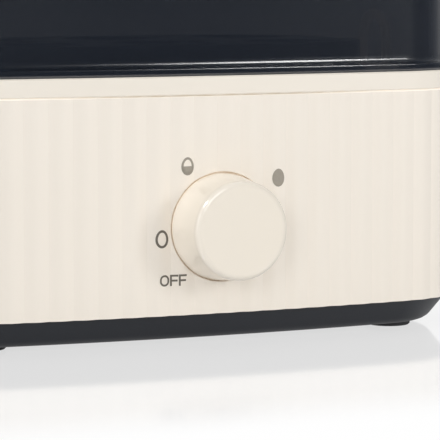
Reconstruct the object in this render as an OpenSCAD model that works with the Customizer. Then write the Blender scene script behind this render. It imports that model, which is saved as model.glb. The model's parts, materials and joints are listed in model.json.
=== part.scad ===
// Electric egg cooker: six eggs are steamed on a rack under a smoked lid.
// The fluted housing carries a heated pan above and the control board behind its front wall.
// Millimetres, +Z up, front towards -Y, origin on the table in the middle of the footprint.

/* [Housing] */
// Width across the flute crests
body_w = 218; // [208:1:230]
// Depth across the flute crests
body_d = 154; // [150:1:168]
// Corner radius of the plan
corner_r = 35.5; // [30:0.5:40]
// Radius of the bowed front and back
bow_r = 760; // [600:5:1200]
// Radius of the bowed sides
side_bow_r = 640; // [500:5:900]
// Height of the fluted wall
skirt_h = 75.6; // [72:0.2:84]
// Wall thickness behind a groove
wall = 2.5; // [2.2:0.1:3]
// Wanted spacing of the flutes
flute_pitch = 8.7; // [7.6:0.1:10]
// Depth of a flute groove
flute_depth = 0.7; // [0.4:0.1:1.4]
// Groove nearest to the knob axis, measured sideways from the middle
flute_shift = -1.7; // [-4:0.1:4]

/* [Top ring] */
// Height of the smooth band
ring_h = 6.6; // [5.8:0.1:8]
// Shadow gap between the band and the fluted wall
ring_gap = 0.2; // [0.2:0.1:0.8]
// Thickness of the band
ring_wall = 3; // [2.6:0.1:3.2]
// Width of the shelf that carries the pan
shelf_w = 12.5; // [11.5:0.1:13]
// Thickness of the shelf
shelf_t = 2; // [1.6:0.1:2.4]
// Depth of the spigot inside the fluted wall
spigot_h = 6; // [5:0.1:7]

/* [Base tray] */
// Height of the chamfered tray edge
tray_h = 9.9; // [9:0.1:11]
// Step in from the flute crests at the top of the tray
tray_step = 2.8; // [1.4:0.1:3]
// How far the tray runs in towards its underside
tray_run = 8; // [6:0.1:9]
// Radius where the slope turns into the underside
tray_round = 6.5; // [5:0.1:8]
// Floor thickness of the tray
tray_t = 2; // [1.6:0.1:2.6]
// Height of the lip inside the housing
lip_h = 5; // [4:0.1:6]
// Diameter of a rubber foot
foot_d = 16; // [14:0.2:18]
// Height of a foot below the tray
foot_h = 1.5; // [0.8:0.1:3]
// Distance of the feet from the middle, sideways
foot_x = 78.5; // [72:0.5:80]
// Distance of the feet from the front and back
foot_y = 27; // [21:0.5:30]

/* [Lid] */
// Height of the lid above the ring
lid_h = 64; // [62:0.5:72]
// Wall thickness of the lid
lid_t = 2.2; // [1.8:0.1:2.6]
// Step in of the lid's foot flange
lid_step = 0.8; // [0.5:0.1:1.4]
// Height of the foot flange
flange_h = 2.8; // [2.4:0.1:3.2]
// Radius of the hollow between flange and wall
hollow_r = 2.9; // [2:0.1:3.4]
// Draft angle of the lid wall
lid_draft = 0.8; // [0.5:0.1:2.5]
// Radius of the lid's top edge
lid_round = 17; // [12:0.5:18]
// Diameter of a steam vent
vent_d = 4; // [3:0.5:5]

/* [Lid handle] */
// Radius of the arch along its middle
arch_r = 46; // [42:0.5:50]
// Depth of the arch's centre below the lid top
arch_drop = 24; // [22:0.5:26]
// Thickness of the arch
arch_t = 9; // [8:0.2:10]
// Width of the arch
arch_w = 20; // [16:0.5:24]

/* [Egg rack] */
// Space between the rack and the crests at the ends
rack_end = 29; // [26:0.5:32]
// Space between the rack and the crests at front and back
rack_side = 25; // [22:0.5:27]
// Corner radius of the rack
rack_r = 38; // [28:0.5:42]
// Diameter of an egg hole
egg_d = 38; // [32:0.5:40]
// Height of the rack's skirt
rim_h = 12; // [7:0.5:15]
// Thickness of the rack
rack_t = 2; // [1.6:0.1:2.4]
// Radius of a loop handle
loop_r = 9.5; // [9:0.5:12]
// Height of a loop handle's straight legs
loop_leg = 9.5; // [6:0.5:14]

/* [Heating] */
// Depth of the pan
pan_depth = 17; // [14:0.5:20]
// Sheet thickness of the pan
sheet = 0.8; // [0.6:0.1:1]
// Thickness of the gasket
seal_t = 1.2; // [0.8:0.1:1.6]
// Radius of the heater disc
disc_r = 50; // [46:0.5:54]
// Thickness of the heater disc
disc_t = 2; // [1.6:0.1:3]
// Diameter of the heating tube
tube_d = 7; // [6:0.1:7.6]
// Radius of the heating ring
ring_r = 40; // [36:0.5:42]
// Height of the space between disc and heat shield
shield_space = 12; // [11.5:0.1:13]

/* [Knob] */
// Diameter of the knob at its foot
knob_d = 37.5; // [34:0.5:42]
// Radius lost from foot to face
knob_taper = 1.6; // [0.8:0.1:2.4]
// Height of the knob
knob_h = 18; // [15:0.5:20]
// Rounding of the knob's face edge
knob_round = 1.9; // [1.4:0.1:3]
// Depth of the knob's foot below the flute crests
knob_sink = 1; // [0.6:0.1:1.2]
// Clearance round the knob in its well
knob_run = 0.4; // [0.35:0.05:0.6]
// Height of the knob axis above the tray
knob_up = 30.2; // [28:0.2:33]
// Diameter of the spindle
spindle_d = 6; // [5:0.1:6.4]
// Running clearance of the spindle
run_gap = 0.05; // [0.03:0.01:0.08]

/* [Control] */
// Width of the control board
board_w = 58; // [56:0.5:64]
// Height of the control board
board_h = 46; // [44:0.5:50]
// Thickness of the control board
board_t = 1.6; // [1.2:0.1:2]
// Distance between the front crests and the board
board_in = 14; // [13:0.2:15]

/* [Cord gland] */
// Bore of the gland
gland_bore = 8; // [6:0.2:9]
// Width of the gland's neck
gland_w = 15; // [13:0.2:17]
// Height of the bore above the tray
gland_up = 11; // [9:0.2:13]
// How far the gland stands out of the back
gland_out = 2.2; // [1.6:0.1:3]

/* [Hidden] */
$fn = 48;
fine = 96;
slack = 0.2;
edge = 0.5;
overlap = 0.6;
tray_z = foot_h;
tray_top = tray_z + tray_h;
housing_top = tray_top + skirt_h;
band_z = housing_top + ring_gap;
ring_top = band_z + ring_h;
inner = flute_depth + wall;
shelf_in = ring_wall + shelf_w;
shelf_z = housing_top + shelf_t;
flange_z = shelf_z + seal_t;
flange_top = flange_z + sheet;
pan_wall = shelf_in + 0.7;
pan_z = flange_top - pan_depth;
pan_corner = 6;
fold = 2;
seal_in = pan_wall + sheet - fold - slack;
disc_z = pan_z - disc_t;
shield_z = disc_z - shield_space;
front_y = -body_d / 2;
knob_z = tray_top + knob_up;
board_y = front_y + board_in;
board_back = board_y + board_t;
pad_y = front_y + inner + 2.4;
lid_top = ring_top + lid_h;
housing_y = (knob_h - knob_sink - gland_out) / 2;

// Plan outline: eight tangent arcs, each given as centre, radius, start angle, span and segments
front_c = [0, bow_r - body_d / 2];
side_c = [body_w / 2 - side_bow_r, 0];
reach_a = bow_r - corner_r;
reach_b = side_bow_r - corner_r;
span_ab = norm(side_c - front_c);
along_ab = (side_c - front_c) / span_ab;
foot_ab = (reach_a * reach_a - reach_b * reach_b + span_ab * span_ab) / (2 * span_ab);
rise_ab = sqrt(reach_a * reach_a - foot_ab * foot_ab);
corner_c = front_c + foot_ab * along_ab + rise_ab * [-along_ab[1], along_ab[0]];
bow_a = atan2(corner_c[0], front_c[1] - corner_c[1]);
side_a = atan2(-corner_c[1], corner_c[0] - side_c[0]);
turn_a = 90 - bow_a - side_a;
bow_n = 8;
turn_n = 12;
arcs = [
    [front_c, bow_r, 270 - bow_a, 2 * bow_a, bow_n],
    [corner_c, corner_r, 270 + bow_a, turn_a, turn_n],
    [side_c, side_bow_r, -side_a, 2 * side_a, bow_n],
    [[corner_c[0], -corner_c[1]], corner_r, side_a, turn_a, turn_n],
    [-front_c, bow_r, 90 - bow_a, 2 * bow_a, bow_n],
    [-corner_c, corner_r, 90 + bow_a, turn_a, turn_n],
    [-side_c, side_bow_r, 180 - side_a, 2 * side_a, bow_n],
    [[-corner_c[0], corner_c[1]], corner_r, 180 + side_a, turn_a, turn_n]
];

function polar(r, a) = r * [cos(a), sin(a)];
function arc_at(a, inset, t) = a[0] + polar(a[1] - inset, a[2] + a[3] * t);
function arc_len(a) = a[1] * a[3] * PI / 180;
function outline(inset) = [for (a = arcs) for (i = [0 : a[4] - 1]) arc_at(a, inset, i / a[4])];
function bend(c, r, a0, a1, n) = [for (i = [0 : n]) c + polar(r, a0 + (a1 - a0) * i / n)];
function front_at(x, inset) = front_c[1] - sqrt(pow(bow_r - inset, 2) - x * x);
function side_at(y, inset) = side_c[0] + sqrt(pow(side_bow_r - inset, 2) - y * y);

// Flutes are walked along the crest outline by length, eight points to a flute
lengths = [for (a = arcs) arc_len(a)];
function total(v, i = 0) = i == len(v) ? 0 : v[i] + total(v, i + 1);
around = total(lengths);
flutes = round(around / flute_pitch);
pitch = around / flutes;
flute_n = 8;
function walk(s, inset, k = 0) =
    s <= lengths[k] || k == len(arcs) - 1
    ? arc_at(arcs[k], inset, s / lengths[k])
    : walk(s - lengths[k], inset, k + 1);
function crest(t) = (abs(cos(180 * t)) + pow(cos(180 * t), 2)) / 2;
function wrap(s) = s - around * floor(s / around);
flute_start = lengths[0] / 2 + flute_shift;
fluted = [
    for (j = [0 : flutes * flute_n - 1])
    walk(wrap(flute_start + j * pitch / flute_n), flute_depth * (1 - crest(j / flute_n - 0.5)))
];

// Fasteners and seats shared by several sub-parts
screw_r = 1.5;
screw_len = 16;
head_r = 3.2;
head_h = 2.2;
head_deep = 0.6;
pilot_r = 1.25;
small_screw_r = 1.2;
small_screw_len = 7;
small_head_r = 2.6;
small_head_h = 1.8;
stud_r = 1.5;
stud_len = 8;
stud_x = 55;
stud_inset = ring_wall + shelf_w * 0.65;
studs = concat(
    [for (sx = [-1, 1], sy = [-1, 1]) [sx * stud_x, sy * front_at(stud_x, stud_inset)]],
    [for (sx = [-1, 1]) [sx * side_at(0, stud_inset), 0]]
);
nut_w = 5.5;
nut_h = 2.4;
boss_r = 4;
boss_h = 24;
boss_in = 22;
boss_x = body_w / 2 - boss_in;
boss_y = body_d / 2 - 45;
bosses = [for (sx = [-1, 1], sy = [-1, 1]) [sx * boss_x, sy * boss_y]];
rib_t = 2;
head_z = tray_z + head_h + head_deep;
floor_z = tray_z + tray_t;
feet = [for (sx = [-1, 1], sy = [-1, 1]) [sx * foot_x, sy * (body_d / 2 - foot_y)]];
foot_sink = 0.8;
foot_wall = 0.8;
stem_r = 2.5;
lug_w = 12;
lug_h = 2;
lug_out = 0.9;
lug_z = housing_top - 2.2 - lug_h;
skin = 2;
gap_in = flute_depth + 0.3;

// Control behind the front wall
board_gap = 0.4;
board_z = shield_z - board_gap - board_h / 2;
stand_r = 3;
stand_x = board_w / 2 - 5;
stand_z = board_h / 2 - 6;
stands = [for (sx = [-1, 1], sz = [-1, 1]) [sx * stand_x, board_z + sz * stand_z]];
bush_r = spindle_d / 2 + 1.2;
bush_out = 1.2;
pad_r = 11;
well_r = knob_d / 2 + knob_run;
well_in = knob_sink + 0.8;
control_r = 8.4;
pin_row = 1.4;
pin_strip = [12, 11];
hub_r = spindle_d / 2 + 2.2;
hub_z = 3.4;
grip_len = 9;
clip_len = 4;
clip_t = 0.8;
relay_size = [19, 15.5, 15];
relay_at = [-7.5, -3.5];
film_size = [13, 13, 7];
film_at = [12.5, -5.5];
buzzer_r = 6;
buzzer_h = 7;
buzzer_at = [-8, 13];
posts_size = [15, 10, 8];
posts_at = [10.5, 13];
post_pitch = 5;
entry_r = 1.6;

// Heating under the pan
boss_stud = [4, 2];
stud_drop = 6;
shield_nut_w = 7;
shield_nut_h = 3.2;
shield_rim = [disc_r + 6, disc_r + 9];
shield_up = 9;
leg_a = 26;
elbow = 0.1;
leg_z = shield_z - 6;
tab = [6.3, 0.8, 9];
tab_z = leg_z - 11;
sleeve = [8.4, 3.2, 8];
thermostat_at = [-20, 3];
thermostat_r = 7.5;
thermostat_h = 7;
fuse_at = [20, -4];
fuse_r = 2;
fuse_len = 12;
sensor_at = [4, 20];

// Mains terminals and inner leads
block_at = [-34, body_d / 2 - 33];
block_size = [26, 16, 12];
block_up = 5;
block_z = floor_z + block_up;
pole_x = 7.5;
pole_z = block_z + 5;
lead_r = 1.4;
lead_turn = 5;
lead_y = [board_back + posts_size[1] + 12, board_back + posts_size[1] + 7];
drop_z = pole_z + 2 * lead_r + 1.2;

// Gland, rack and lid handle
gland_z = tray_top + gland_up;
gland_top = gland_z + gland_bore / 2 + 3.6;
gland_lip = 2;
rack_l = body_w - 2 * rack_end;
rack_d = body_d - 2 * rack_side;
rack_up = 2.6;
rack_z = flange_top + rack_up;
egg_px = (rack_l - 6) / 3;
egg_py = (rack_d - 2) / 2;
eggs = [for (i = [-1 : 1], j = [-0.5, 0.5]) [i * egg_px, j * egg_py]];
seat_slope = 2;
seat_h = 5;
collar = 1.5;
drain_r = 2;
ear_w = 2 * loop_r + 9;
ear_run = 21;
ear_x = rack_l / 2 + ear_run;
loop_wire = 1.8;
loop_in = 1.4;
loop_x = ear_x - loop_wire - loop_in;
arch_x = sqrt(arch_r * arch_r - arch_drop * arch_drop);
arch_edge = 3;
washer_r = 4.4;
washer_t = 1;
handle_bite = 5.5;
vent_at = [10, arch_w / 2 + 12];

cream = [0.93, 0.9, 0.85];
charcoal = [0.2, 0.21, 0.23];
steel = [0.75, 0.76, 0.78];
silicone = [0.72, 0.36, 0.24];

module rod_y(r, y0, y1, x = 0, z = 0) {
    translate([x, y0, z])
        rotate([-90, 0, 0])
            cylinder(r = r, h = y1 - y0);
}

module rod_z(r, z0, z1, p = [0, 0]) {
    translate([p[0], p[1], z0])
        cylinder(r = r, h = z1 - z0);
}

module box(x0, x1, y0, y1, z0, z1) {
    translate([x0, y0, z0])
        cube([x1 - x0, y1 - y0, z1 - z0]);
}

module rounded(w, d, r) {
    square([w - 2 * r, d], center = true);
    square([w, d - 2 * r], center = true);
    for (sx = [-1, 1], sy = [-1, 1])
        translate([sx * (w / 2 - r), sy * (d / 2 - r)])
            circle(r = r);
}

// Rows of (distance in from the crests, height) carried all round the plan
plan_n = len(outline(0));
function rows(path) = [for (p = path) for (q = outline(p[0])) [q[0], q[1], p[1]]];
function strip(i, k) = [
    for (j = [0 : plan_n - 1])
    let (j1 = (j + 1) % plan_n)
    [i * plan_n + j, k * plan_n + j, k * plan_n + j1, i * plan_n + j1]
];

// A closed profile makes a ring
module ring_loft(path) {
    m = len(path);
    polyhedron(points = rows(path), faces = [for (i = [0 : m - 1]) each strip(i, (i + 1) % m)]);
}

// An open profile makes a tub, closed by a flat underside and a flat floor
module tub_loft(path) {
    m = len(path);
    under = [for (j = [0 : plan_n - 1]) j];
    top = [for (j = [1 : plan_n]) m * plan_n - j];
    sides = [for (i = [0 : m - 2]) each strip(i, i + 1)];
    polyhedron(points = rows(path), faces = concat([under, top], sides));
}

module plate(inset, z0, z1) {
    translate([0, 0, z0])
        linear_extrude(height = z1 - z0)
            polygon(outline(inset));
}

module fluted_housing() {
    color(cream)
        difference() {
            union() {
                difference() {
                    translate([0, 0, tray_top])
                        linear_extrude(height = skirt_h)
                            polygon(fluted);
                    plate(inner, tray_top - 1, housing_top + 1);
                }
                rod_y(pad_r, front_y + inner - overlap, pad_y, 0, knob_z);
                for (p = stands)
                    rod_y(stand_r, front_at(p[0], inner) - overlap, board_y, p[0], p[1]);
                for (p = bosses)
                    housing_boss(p);
            }
            rod_y(bush_r + slack, front_y - 1, pad_y + 1, 0, knob_z);
            rod_y(well_r, front_y - 1, front_y + well_in, 0, knob_z);
            for (p = stands)
                rod_y(pilot_r, board_y - small_screw_len - 1, board_y + 1, p[0], p[1]);
            for (p = bosses)
                rod_z(screw_r + run_gap, tray_top - 1, tray_top + screw_len, p);
            box(-gland_w / 2 - slack, gland_w / 2 + slack, -front_y - inner - 1, -front_y + 1,
                tray_top - 1, gland_top + slack);
            snap_lugs(slack);
        }
}

module housing_boss(p) {
    rod_z(boss_r, tray_top, tray_top + boss_h, p);
    sx = sign(p[0]);
    x0 = abs(p[0]);
    x1 = side_at(p[1], inner) + overlap;
    box(sx > 0 ? x0 : -x1, sx > 0 ? x1 : -x0, p[1] - rib_t / 2, p[1] + rib_t / 2,
        tray_top + lip_h + 1, tray_top + boss_h);
}

// Lugs on the ring's spigot that snap into pockets of the fluted wall
module snap_lugs(grow) {
    y0 = -front_at(stud_x, inner + 1);
    y1 = -front_at(stud_x, inner - lug_out) + grow;
    for (sx = [-1, 1], sy = [-1, 1])
        box(sx * stud_x - lug_w / 2 - grow, sx * stud_x + lug_w / 2 + grow,
            sy > 0 ? y0 : -y1, sy > 0 ? y1 : -y0, lug_z - grow, lug_z + lug_h + grow);
}

module top_ring() {
    spigot = inner + slack;
    color(cream)
        difference() {
            union() {
                ring_loft([
                        [0, band_z + edge],
                        [0, ring_top - edge],
                        [edge, ring_top],
                        [ring_wall, ring_top],
                        [ring_wall, shelf_z],
                        [shelf_in, shelf_z],
                        [shelf_in, housing_top],
                        [spigot + skin, housing_top],
                        [spigot + skin, housing_top - spigot_h],
                        [spigot, housing_top - spigot_h],
                        [spigot, housing_top],
                        [gap_in, housing_top],
                        [gap_in, band_z],
                        [edge, band_z]
                    ]);
                snap_lugs(0);
            }
            for (p = studs)
                rod_z(stud_r + slack, housing_top - 1, shelf_z + 1, p);
        }
}

module pan_seal() {
    color(silicone)
        difference() {
            plate(ring_wall + edge, shelf_z, flange_z);
            plate(seal_in, shelf_z - 1, flange_z + 1);
            for (p = studs)
                rod_z(stud_r + slack, shelf_z - 1, flange_z + 1, p);
        }
}

module heating_pan() {
    r = pan_corner;
    cavity = pan_wall + sheet;
    color(steel) {
        tub_loft(concat(
            bend([cavity + r, pan_z + sheet + r], r + sheet, 270, 180, 4),
            bend([cavity - fold, flange_top - fold], fold - sheet, 0, 90, 3),
            [[ring_wall + edge, flange_z], [ring_wall + edge, flange_top]],
            bend([cavity - fold, flange_top - fold], fold, 90, 0, 3),
            bend([cavity + r, pan_z + sheet + r], r, 180, 270, 4)
        ));
        for (p = studs)
            rod_z(stud_r, housing_top - stud_len, flange_z + sheet / 2, p);
    }
}

module hex_nut(across, bore_r, h) {
    difference() {
        cylinder(r = across / sqrt(3), h = h, $fn = 6);
        translate([0, 0, -1])
            cylinder(r = bore_r, h = h + 2);
    }
}

module pan_nuts() {
    color(steel)
        for (p = studs)
            translate([p[0], p[1], housing_top - nut_h])
                hex_nut(nut_w, stud_r + run_gap, nut_h);
}

module heater_disc() {
    color([0.82, 0.83, 0.84])
        rotate_extrude($fn = fine)
            polygon([
                [0, pan_z],
                [disc_r, pan_z],
                [disc_r, disc_z + edge],
                [disc_r - edge, disc_z],
                [boss_stud[0], disc_z],
                [boss_stud[0], shield_z + sheet],
                [boss_stud[1], shield_z + sheet],
                [boss_stud[1], shield_z - stud_drop],
                [0, shield_z - stud_drop]
            ]);
}

module at_legs() {
    for (s = [-1, 1])
        rotate([0, 0, s * leg_a - 90])
            translate([ring_r, 0, 0])
                children();
}

// Tubular element: an open ring under the disc, cold legs down through the shield, flat tabs
module heating_element() {
    tube_z = disc_z - tube_d / 2 - elbow;
    color([0.5, 0.5, 0.52]) {
        rotate([0, 0, leg_a - 90])
            translate([0, 0, tube_z])
                rotate_extrude(angle = 360 - 2 * leg_a, $fn = fine)
                    translate([ring_r, 0])
                        circle(r = tube_d / 2);
        at_legs() {
            translate([0, 0, tube_z])
                sphere(r = tube_d / 2 + elbow);
            rod_z(tube_d / 2 - 0.4, leg_z, tube_z);
            rod_z(2.2, leg_z - 4, leg_z + 1);
            box(-tab[0] / 2, tab[0] / 2, -tab[1] / 2, tab[1] / 2, tab_z, tab_z + tab[2]);
        }
    }
}

module heat_shield() {
    hole = boss_stud[1] + slack;
    color([0.8, 0.8, 0.78])
        difference() {
            rotate_extrude($fn = fine)
                polygon([
                    [hole, shield_z],
                    [shield_rim[0], shield_z],
                    [shield_rim[1], shield_z + shield_up],
                    [shield_rim[1] - sheet, shield_z + shield_up],
                    [shield_rim[0] - sheet, shield_z + sheet],
                    [hole, shield_z + sheet]
                ]);
            at_legs()
                rod_z(tube_d / 2 + 1, shield_z - 1, shield_z + 2);
        }
}

module shield_nut() {
    color(steel)
        translate([0, 0, shield_z - shield_nut_h])
            hex_nut(shield_nut_w, boss_stud[1] + run_gap, shield_nut_h);
}

module thermostat() {
    p = thermostat_at;
    ear = thermostat_r + 5.5;
    low = disc_z - thermostat_h;
    color([0.25, 0.2, 0.15]) {
        rod_z(thermostat_r, low, disc_z - sheet, p);
        box(p[0] - 5, p[0] + 5, p[1] - ear, p[1] + ear, disc_z - sheet, disc_z);
        for (s = [-1, 1])
            box(p[0] + s * 3 - 2, p[0] + s * 3 + 2, p[1] - ear - 1, p[1], low + 1, low + 1 + tab[1]);
    }
}

module thermal_fuse() {
    p = fuse_at;
    z = disc_z - fuse_r;
    wire = 0.5;
    color([0.8, 0.75, 0.6]) {
        rod_y(fuse_r, p[1] - fuse_len / 2, p[1] + fuse_len / 2, p[0], z);
        rod_y(wire, p[1] - fuse_len, p[1] + fuse_len, p[0], z);
        box(p[0] - fuse_r - 1, p[0] + fuse_r + 1, p[1] - 2, p[1] + 2, z - fuse_r - sheet, disc_z);
        box(p[0] - 4 * fuse_r, p[0], p[1] - 2, p[1] + 2, disc_z - sheet, disc_z);
    }
}

module boil_sensor() {
    hex_r = 5.2;
    hex_h = 4;
    color([0.7, 0.6, 0.35]) {
        translate([sensor_at[0], sensor_at[1], disc_z - hex_h])
            cylinder(r = hex_r, h = hex_h, $fn = 6);
        rod_z(3, disc_z - hex_h - 5.5, disc_z - hex_h + 1, sensor_at);
    }
}

module control_board() {
    color([0.15, 0.4, 0.25])
        difference() {
            box(-board_w / 2, board_w / 2, board_y, board_back,
                board_z - board_h / 2, board_z + board_h / 2);
            for (p = stands)
                rod_y(pilot_r + slack, board_y - 1, board_back + 1, p[0], p[1]);
        }
}

module board_screws() {
    color(steel)
        for (p = stands) {
            rod_y(small_screw_r, board_y - small_screw_len, board_back + edge, p[0], p[1]);
            rod_y(small_head_r, board_back, board_back + small_head_h, p[0], p[1]);
        }
}

// Rotary control: a round body on the board, its threaded bush through the front wall
module rotary_control() {
    color([0.3, 0.32, 0.36])
        difference() {
            union() {
                rod_y(control_r, pad_y, board_y - pin_row, 0, knob_z);
                box(-pin_strip[0] / 2, pin_strip[0] / 2, pad_y + 2, board_y, knob_z - pin_strip[1], knob_z);
                rod_y(bush_r, front_y - bush_out, pad_y + 1, 0, knob_z);
            }
            rod_y(spindle_d / 2 + run_gap, front_y - bush_out - 1, pad_y + 3, 0, knob_z);
        }
}

module control_nut() {
    color(steel)
        translate([0, front_y + well_in, knob_z])
            rotate([90, 0, 0])
                hex_nut(2 * bush_r + 3.2, bush_r + run_gap, 2);
}

module spindle() {
    tip = front_y + knob_sink - hub_z - grip_len + edge;
    flat = spindle_d / 4;
    color(steel)
        difference() {
            rod_y(spindle_d / 2, tip, pad_y + 2.8, 0, knob_z);
            box(-spindle_d, spindle_d, tip - 1, tip + grip_len, knob_z + flat, knob_z + spindle_d);
        }
}

// Knob: a hollow cup with a hub whose bore has the spindle's flat
module knob() {
    foot = knob_d / 2;
    face = foot - knob_taper;
    bore = spindle_d / 2 + run_gap;
    flat = spindle_d / 4 + run_gap;
    cup = knob_h - skin;
    color([0.94, 0.91, 0.86])
        translate([0, front_y + knob_sink, knob_z])
            rotate([90, 0, 0])
                difference() {
                    rotate_extrude($fn = fine)
                        polygon(concat(
                            [[0, hub_z], [hub_r, hub_z], [hub_r, cup], [face - skin - 1, cup]],
                            [[face - skin, cup - 1], [foot - skin, 0]],
                            [[foot - edge / 2, 0], [foot, edge / 2]],
                            bend([face - knob_round, knob_h - knob_round], knob_round, 4, 90, 6),
                            [[0, knob_h]]
                        ));
                    intersection() {
                        translate([0, 0, hub_z - 1])
                            cylinder(r = bore, h = grip_len + 1);
                        translate([-foot, -foot, 0])
                            cube([2 * foot, foot + flat, knob_h]);
                    }
                }
}

module knob_clip() {
    color(steel)
        translate([0, front_y + knob_sink - hub_z - 2, knob_z])
            rotate([90, 0, 0])
                rotate_extrude(angle = 310)
                    translate([hub_r + run_gap, 0])
                        square([clip_t, clip_len]);
}

// A box that stands on the back of the board, placed by its middle
module on_board(size, at) {
    translate([at[0] - size[0] / 2, board_back, board_z + at[1] - size[2] / 2])
        cube(size);
}

module relay() {
    color([0.15, 0.3, 0.55])
        on_board(relay_size, relay_at);
}

module film_capacitor() {
    color([0.75, 0.65, 0.2])
        on_board(film_size, film_at);
}

module buzzer() {
    color([0.1, 0.1, 0.11])
        difference() {
            rod_y(buzzer_r, board_back, board_back + buzzer_h, buzzer_at[0], board_z + buzzer_at[1]);
            rod_y(1, board_back + 5, board_back + buzzer_h + 1, buzzer_at[0], board_z + buzzer_at[1]);
        }
}

module board_terminals() {
    z = board_z + posts_at[1];
    back = board_back + posts_size[1];
    color([0.2, 0.5, 0.3])
        difference() {
            on_board(posts_size, posts_at);
            for (i = [-1 : 1])
                rod_y(entry_r, back - 6, back + 1, posts_at[0] + i * post_pitch, z);
        }
}

module block_box(z0, z1) {
    box(block_at[0] - block_size[0] / 2, block_at[0] + block_size[0] / 2,
        block_at[1] - block_size[1] / 2, block_at[1] + block_size[1] / 2, z0, z1);
}

module terminal_block() {
    top = block_z + block_size[2];
    front = block_at[1] - block_size[1] / 2;
    color([0.9, 0.9, 0.88])
        difference() {
            block_box(block_z, top);
            rod_z(screw_r + slack, block_z - 1, top + 1, block_at);
            for (s = [-1, 1]) {
                rod_y(entry_r, front - 1, front + block_size[1] + 1, block_at[0] + s * pole_x, pole_z);
                rod_z(entry_r, pole_z + 2, top + 1, [block_at[0] + s * pole_x, block_at[1]]);
            }
        }
}

module block_screw() {
    top = block_z + block_size[2];
    color(steel) {
        rod_z(screw_r, block_z - block_up + edge, top + edge, block_at);
        rod_z(head_r, top, top + head_h, block_at);
    }
}

// A lead that follows square corners: straight runs joined by quarter bends
module run_lead(points) {
    n = len(points);
    function step(i) = (points[i + 1] - points[i]) / norm(points[i + 1] - points[i]);
    for (i = [0 : n - 2]) {
        a = points[i] + (i > 0 ? lead_turn * step(i) : [0, 0, 0]);
        b = points[i + 1] - (i < n - 2 ? lead_turn * step(i) : [0, 0, 0]);
        d = step(i);
        translate(a)
            rotate([d[1] == 0 ? 0 : -90 * d[1], d[0] == 0 ? 0 : 90 * d[0], 0])
                rotate([d[2] < 0 ? 180 : 0, 0, 0])
                    cylinder(r = lead_r, h = norm(b - a));
    }
    for (i = [1 : n - 2]) {
        a = step(i - 1);
        b = step(i);
        w = cross(-b, a);
        c = points[i] + lead_turn * (b - a);
        multmatrix([
            [-b[0], a[0], w[0], c[0]],
            [-b[1], a[1], w[1], c[1]],
            [-b[2], a[2], w[2], c[2]]
        ])
            rotate_extrude(angle = 90)
                translate([lead_turn, 0])
                    circle(r = lead_r);
    }
}

leg_p = ring_r * [sin(leg_a), -cos(leg_a)];

module leads() {
    post_z = board_z + posts_at[1];
    start_y = board_back + posts_size[1] - 5;
    end_y = block_at[1] - block_size[1] / 2 + 6;
    color([0.7, 0.2, 0.15]) {
        for (i = [0, 1]) {
            x0 = posts_at[0] + (i - 1) * post_pitch;
            x1 = block_at[0] + (i == 0 ? pole_x : -pole_x);
            run_lead([
                [x0, start_y, post_z],
                [x0, lead_y[i], post_z],
                [x0, lead_y[i], pole_z],
                [x1, lead_y[i], pole_z],
                [x1, end_y, pole_z]
            ]);
        }
        for (s = [-1, 1])
            run_lead([
                [s * leg_p[0], leg_p[1], tab_z - 1],
                [s * leg_p[0], leg_p[1], drop_z],
                [s * leg_p[0], board_back, drop_z]
            ]);
    }
}

// Push-on sleeves over the element's tabs
module tab_sleeves() {
    color([0.9, 0.88, 0.82])
        at_legs()
            difference() {
                box(-sleeve[0] / 2, sleeve[0] / 2, -sleeve[1] / 2, sleeve[1] / 2,
                    tab_z - 1, tab_z - 1 + sleeve[2]);
                box(-tab[0] / 2 - slack, tab[0] / 2 + slack, -tab[1] / 2 - slack, tab[1] / 2 + slack,
                    tab_z - slack, tab_z + sleeve[2]);
            }
}

module base_tray() {
    slope = atan2(tray_h, tray_run);
    low = tray_step + tray_run + tray_round * tan(slope / 2);
    lip = inner + slack;
    notch = gland_w / 2 + gland_lip + 1;
    color(charcoal)
        difference() {
            union() {
                tub_loft(concat(
                    bend([low, tray_z + tray_round], tray_round, 270, 270 - slope, 4),
                    [[tray_step, tray_top], [lip, tray_top], [lip, tray_top + lip_h]],
                    [[lip + skin, tray_top + lip_h], [lip + skin, tray_top - 1], [low, floor_z]]
                ));
                for (p = bosses)
                    rod_z(boss_r, tray_z, tray_top, p);
                for (p = feet)
                    rod_z(foot_d / 2 + foot_wall, tray_z, floor_z + 1, p);
                block_box(tray_z, block_z);
            }
            for (p = bosses) {
                rod_z(screw_r + slack, tray_z - 1, tray_top + 1, p);
                rod_z(head_r + slack, tray_z - 1, head_z, p);
            }
            for (p = feet) {
                rod_z(foot_d / 2 + slack / 2, tray_z - 1, tray_z + foot_sink, p);
                rod_z(stem_r + slack / 2, tray_z - 1, floor_z + 2, p);
            }
            rod_z(screw_r + run_gap, block_z - block_up, block_z + 1, block_at);
            box(-notch, notch, -front_y - inner - 4, -front_y - inner + 1, tray_top, tray_top + lip_h + 1);
        }
}

module rubber_feet() {
    top = floor_z + 1;
    color([0.12, 0.12, 0.13])
        for (p = feet)
            translate([p[0], p[1], 0])
                rotate_extrude()
                    polygon([
                        [0, 0],
                        [foot_d / 2 - edge, 0],
                        [foot_d / 2, edge],
                        [foot_d / 2, tray_z + foot_sink],
                        [stem_r, tray_z + foot_sink],
                        [stem_r, top],
                        [stem_r + 0.4, top + 0.1],
                        [stem_r - 0.4, top + 2],
                        [0, top + 2]
                    ]);
}

module base_screws() {
    color(steel)
        for (p = bosses) {
            rod_z(screw_r, head_z - 1, tray_top + screw_len - 1, p);
            rod_z(head_r, head_z - head_h, head_z, p);
        }
}

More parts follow.
